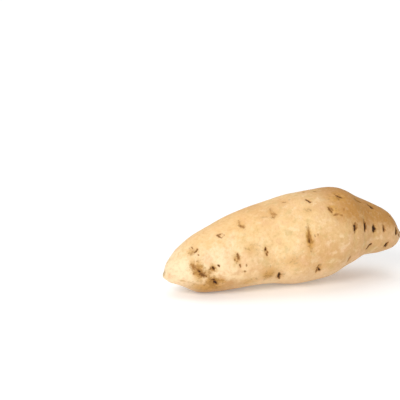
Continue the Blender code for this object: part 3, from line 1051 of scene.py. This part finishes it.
class SkinFinish(Finish):
    """Thin cream skin with blotches, a tan shoulder, dark cracks and olive-brown stains. Painted shade
    darkens the shoulder, the underside of the narrowing half, the top near the tail and the creases, and a
    painted reflection of the floor lightens the underside of the thick middle.

    Each layer of colour is a mask, times how much of the colour shows at most, mixed over the ones before.
    """

    def __init__(self):
        super().__init__("cream_skin")
        place = self.place()
        elsewhere = self.stretched(place, scale=(1, 1, 1), shift=(40, 70, 10))
        across = self.stretched(place, scale=(1.0, 0.3, 0.3))
        self.along = self.attribute("along")
        self.under = self.attribute("under")
        self.crack = self.attribute("crack")
        self.broad = self.noise(place, size=32, detail=2)
        self.blotch = self.noise(elsewhere, size=9, detail=4, roughness=0.6)
        self.patch = self.noise(place, size=5, detail=4, roughness=0.6)
        self.mottle = self.noise(place, size=2.2, detail=4, roughness=0.65)
        self.grain = self.noise(elsewhere, size=0.9, detail=3, roughness=0.6)
        self.wrinkle = self.noise(across, size=1.3, detail=3)
        self.edge = self.crack + 0.4 * (self.mottle - 0.5) + 0.5 * (self.grain - 0.5)

        base = self.cream()
        base = self.spotted(base, BLOTCHES)
        base = self.shade_and_floor_reflection(base)
        base = self.weathered(base)
        base = self.spotted(base, FLECKS)
        base = self.marked(base)
        base = self.cracked(base)
        self.feed(self.shader.inputs["Base Color"], base)
        # The skin is slightly waxy between the cracks, and dry and rough in them.
        rough = 0.5 + 0.14 * self.blotch + 0.35 * self.step(self.edge, 0.3, 0.7)
        self.feed(self.shader.inputs["Roughness"], rough)
        self.shader.inputs["Specular IOR Level"].default_value = 0.4
        self.feed(self.shader.inputs["Normal"], self.fine_relief())

    def spotted(self, base, spots):
        """Spots of other colours, each following one of the noises."""
        noises = {"blotch": self.blotch, "patch": self.patch, "mottle": self.mottle}
        for name, low, high, tint, most in spots:
            base = self.mix(self.step(noises[name], low, high) * most, base, tint)
        return base

    def cream(self):
        """Cream and beige, paler towards the tail and darker on the neck."""
        base = self.mix(self.step(self.broad, 0.35, 0.65), CREAM, BEIGE)
        base = self.mix(self.step(self.along + 30 * (self.blotch - 0.5), *PALE_TAIL) * 0.8, base, PALE)
        return self.mix(self.step(self.along + 40 * (self.blotch - 0.5), *TAN_NECK) * 0.8, base, NECK)

    def shade_and_floor_reflection(self, base):
        """Tan below the narrowing half, partly stain and partly painted shade; paler below the thick middle,
        a painted reflection of the white floor; and gold on top near the tail, painted shade.
        """
        # Stain and painted shade: tan towards the underside of the narrowing half.
        tan_below = self.step(self.under + 1.2 * (self.blotch - 0.5), 0.2, 0.7)
        tan_below = tan_below * self.step(self.along, *TAN_BELOW_TAIL) * self.step(self.along, *TAN_BELOW_TIP)
        base = self.mix(tan_below * 0.75, base, TAN)
        # Painted reflection of the white floor: paler towards the underside of the thick middle.
        pale = self.step(self.under + 0.4 * (self.blotch - 0.5), 0.3, 0.8)
        pale = pale * self.step(self.along, *FLOOR_REFLECTION_TAIL) * self.step(self.along, *FLOOR_REFLECTION_NECK)
        base = self.mix(pale * 0.38, base, PALE)
        # Painted shade: gold where the top near the tail turns away from the light.
        shaded_top = self.under + 1.1 * (self.blotch - 0.5) + 0.8 * (self.patch - 0.5)
        shaded_top = self.step(shaded_top, -0.3, -1.0)
        shaded_top = shaded_top * self.step(self.along, *SHADED_TOP_TAIL) * self.step(self.along, *SHADED_TOP_TIP)
        return self.mix(shaded_top * 0.55, base, SHADE_GOLD)

    def weathered(self, base):
        """The tan shoulder, browned skin and painted shade where the top of the neck faces away from the
        light, with an edge that blotches and patches break up.
        """
        inside = self.attribute("shoulder") + 26 * (self.blotch - 0.5) + 16 * (self.patch - 0.5)
        shoulder_along = self.step(self.along + 30 * (self.patch - 0.5), *SHOULDER_ALONG)
        # Browned skin and painted shade of the shoulder, in tan.
        return self.mix(self.step(inside, *SHOULDER_EDGE) * shoulder_along * 0.92, base, TAN)

    def marked(self, base):
        """Painted shade in olive in the creases, the tinge and the smears of the stains, and cork on both
        ends.
        """
        # Painted shade in the creases, in olive.
        base = self.mix(self.attribute("crease") * 0.45, base, OLIVE)
        stain = self.attribute("stain")
        tinged = self.step(stain + 0.5 * (self.patch - 0.5), 0.05, 0.8)
        base = self.mix(tinged * 0.85, base, TINGE)
        smeared = self.step(stain + 1.5 * (self.patch - 0.5) + 1.6 * (self.mottle - 0.5), 0.3, 0.85)
        base = self.mix(smeared * 0.75, base, STAIN)
        corky = self.step(self.attribute("cork") + 0.8 * (self.mottle - 0.5), 0.45, 0.9)
        return self.mix(corky * 0.6, base, CORK)

    def cracked(self, base):
        """The cracks: a tan edge, then brown, then nearly black in the middle."""
        torn = self.step(self.crack, 0.02, 0.15)
        base = self.mix(self.step(self.edge, 0.05, 0.4) * torn * 0.8, base, EYE_TAN)
        base = self.mix(self.step(self.edge, 0.3, 0.7) * 0.9, base, CRACK_BROWN)
        return self.mix(self.step(self.edge, 0.6, 0.96) * 0.92, base, CRACK_DARK)

    def fine_relief(self):
        """Bumps too fine for the mesh: mottling, wrinkles around the root, and grain."""
        relief = self.bump(self.mottle, depth=0.25)
        relief = self.bump(self.wrinkle, depth=0.2, below=relief)
        return self.bump(self.grain, depth=0.12, below=relief)


def vine_finish():
    """Dry, fibrous brown wood, streaked along the vine."""
    finish = Finish("dry_vine")
    place = finish.place()
    streaks = finish.noise(finish.stretched(place, scale=(0.25, 1, 1)), size=0.5, detail=3)
    spots = finish.noise(place, size=1.2, detail=3)
    base = finish.mix(finish.step(streaks, 0.35, 0.65), VINE_DARK, VINE_BROWN)
    base = finish.mix(finish.step(spots, 0.55, 0.75) * 0.5, base, CORK)
    finish.feed(finish.shader.inputs["Base Color"], base)
    finish.shader.inputs["Roughness"].default_value = 0.85
    finish.feed(finish.shader.inputs["Normal"], finish.bump(streaks, depth=0.2))
    return finish


def rootlet_finish():
    """Shrivelled dark brown rootlets."""
    finish = Finish("dry_rootlet")
    spots = finish.noise(finish.place(), size=0.6, detail=3)
    base = finish.mix(finish.step(spots, 0.35, 0.7), CRACK_DARK, ROOTLET_BROWN)
    finish.feed(finish.shader.inputs["Base Color"], base)
    finish.shader.inputs["Roughness"].default_value = 0.85
    finish.feed(finish.shader.inputs["Normal"], finish.bump(spots, depth=0.15))
    return finish


def lay_floor():
    """The plain pale surface that the root lies on, lit from within further away, so that it stays white."""
    bpy.ops.object.select_all(action="DESELECT")
    bpy.ops.mesh.primitive_plane_add(size=FLOOR_SIZE)
    floor = bpy.context.object
    floor.name = "floor"
    finish = Finish("pale_floor")
    finish.shader.inputs["Base Color"].default_value = FLOOR_WHITE
    finish.shader.inputs["Roughness"].default_value = FLOOR_ROUGHNESS
    distance = finish.node(
        "ShaderNodeVectorMath",
        {"operation": "LENGTH"},
        {0: finish.place()},
        output="Value",
    )
    glow = finish.mix(finish.step(distance, GLOW_RISES, GLOW_FULL), GLOW_NEAR, WHITE)
    finish.feed(finish.shader.inputs["Emission Color"], glow)
    finish.shader.inputs["Emission Strength"].default_value = FLOOR_GLOW
    finish.dress(floor)


def add_soft_light(name, place, size, power):
    """A square soft box that looks at the root. Places and sizes are in metres."""
    bpy.ops.object.select_all(action="DESELECT")
    bpy.ops.object.light_add(type="AREA", location=place)
    light = bpy.context.object
    light.name = name
    light.data.size = size
    light.data.energy = power
    light.rotation_euler = (-Vector(place)).to_track_quat("-Z", "Y").to_euler()


def light_the_set():
    """Soft boxes in a white room, which lights the root less than it is seen."""
    world = bpy.data.worlds.new("studio")
    world.use_nodes = True
    room = Nodes(world.node_tree)
    background = world.node_tree.nodes["Background"]
    background.inputs["Color"].default_value = WHITE
    seen = room.node("ShaderNodeLightPath", output="Is Camera Ray")
    room.feed(background.inputs["Strength"], ROOM_LIGHT + (1 - ROOM_LIGHT) * seen)
    bpy.context.scene.world = world
    for box in SOFT_BOXES:
        add_soft_light(*box)
    view = bpy.context.scene.view_settings
    view.view_transform = "Standard"
    view.look = "None"


def add_camera():
    """A long lens, turned so that the target lands where it does in the photo, with no shift and no roll."""
    azimuth, elevation = math.radians(CAMERA_AZIMUTH), math.radians(CAMERA_ELEVATION)
    level = math.cos(elevation)
    back = Vector((math.sin(azimuth) * level, -math.cos(azimuth) * level, math.sin(elevation)))
    target = Vector((0, 0, TARGET_HEIGHT * MM))
    focal_pixels = LENS / SENSOR * PICTURE
    right = (TARGET_PIXEL[0] - PICTURE / 2) / focal_pixels
    up = (PICTURE / 2 - TARGET_PIXEL[1]) / focal_pixels
    look = -back
    slant = math.sqrt(1 + right * right + up * up)
    pitch = math.atan(up) - math.asin(slant * look.z / math.hypot(1, up))
    ahead = up * math.sin(pitch) + math.cos(pitch)
    yaw = math.atan2(look.y, look.x) - math.atan2(ahead, right)
    bpy.ops.object.select_all(action="DESELECT")
    bpy.ops.object.camera_add(
        location=target + back * CAMERA_DISTANCE * MM, rotation=(math.pi / 2 - pitch, 0, yaw)
    )
    camera = bpy.context.object
    camera.name = "camera"
    camera.data.lens = LENS
    camera.data.sensor_width = SENSOR
    bpy.context.scene.camera = camera


skin, origin = make_skin()
SkinFinish().dress(skin)
vine_finish().dress(make_vine_stub(skin))
rootlet_finish().dress(*make_rootlets(origin))
lay_floor()
light_the_set()
add_camera()
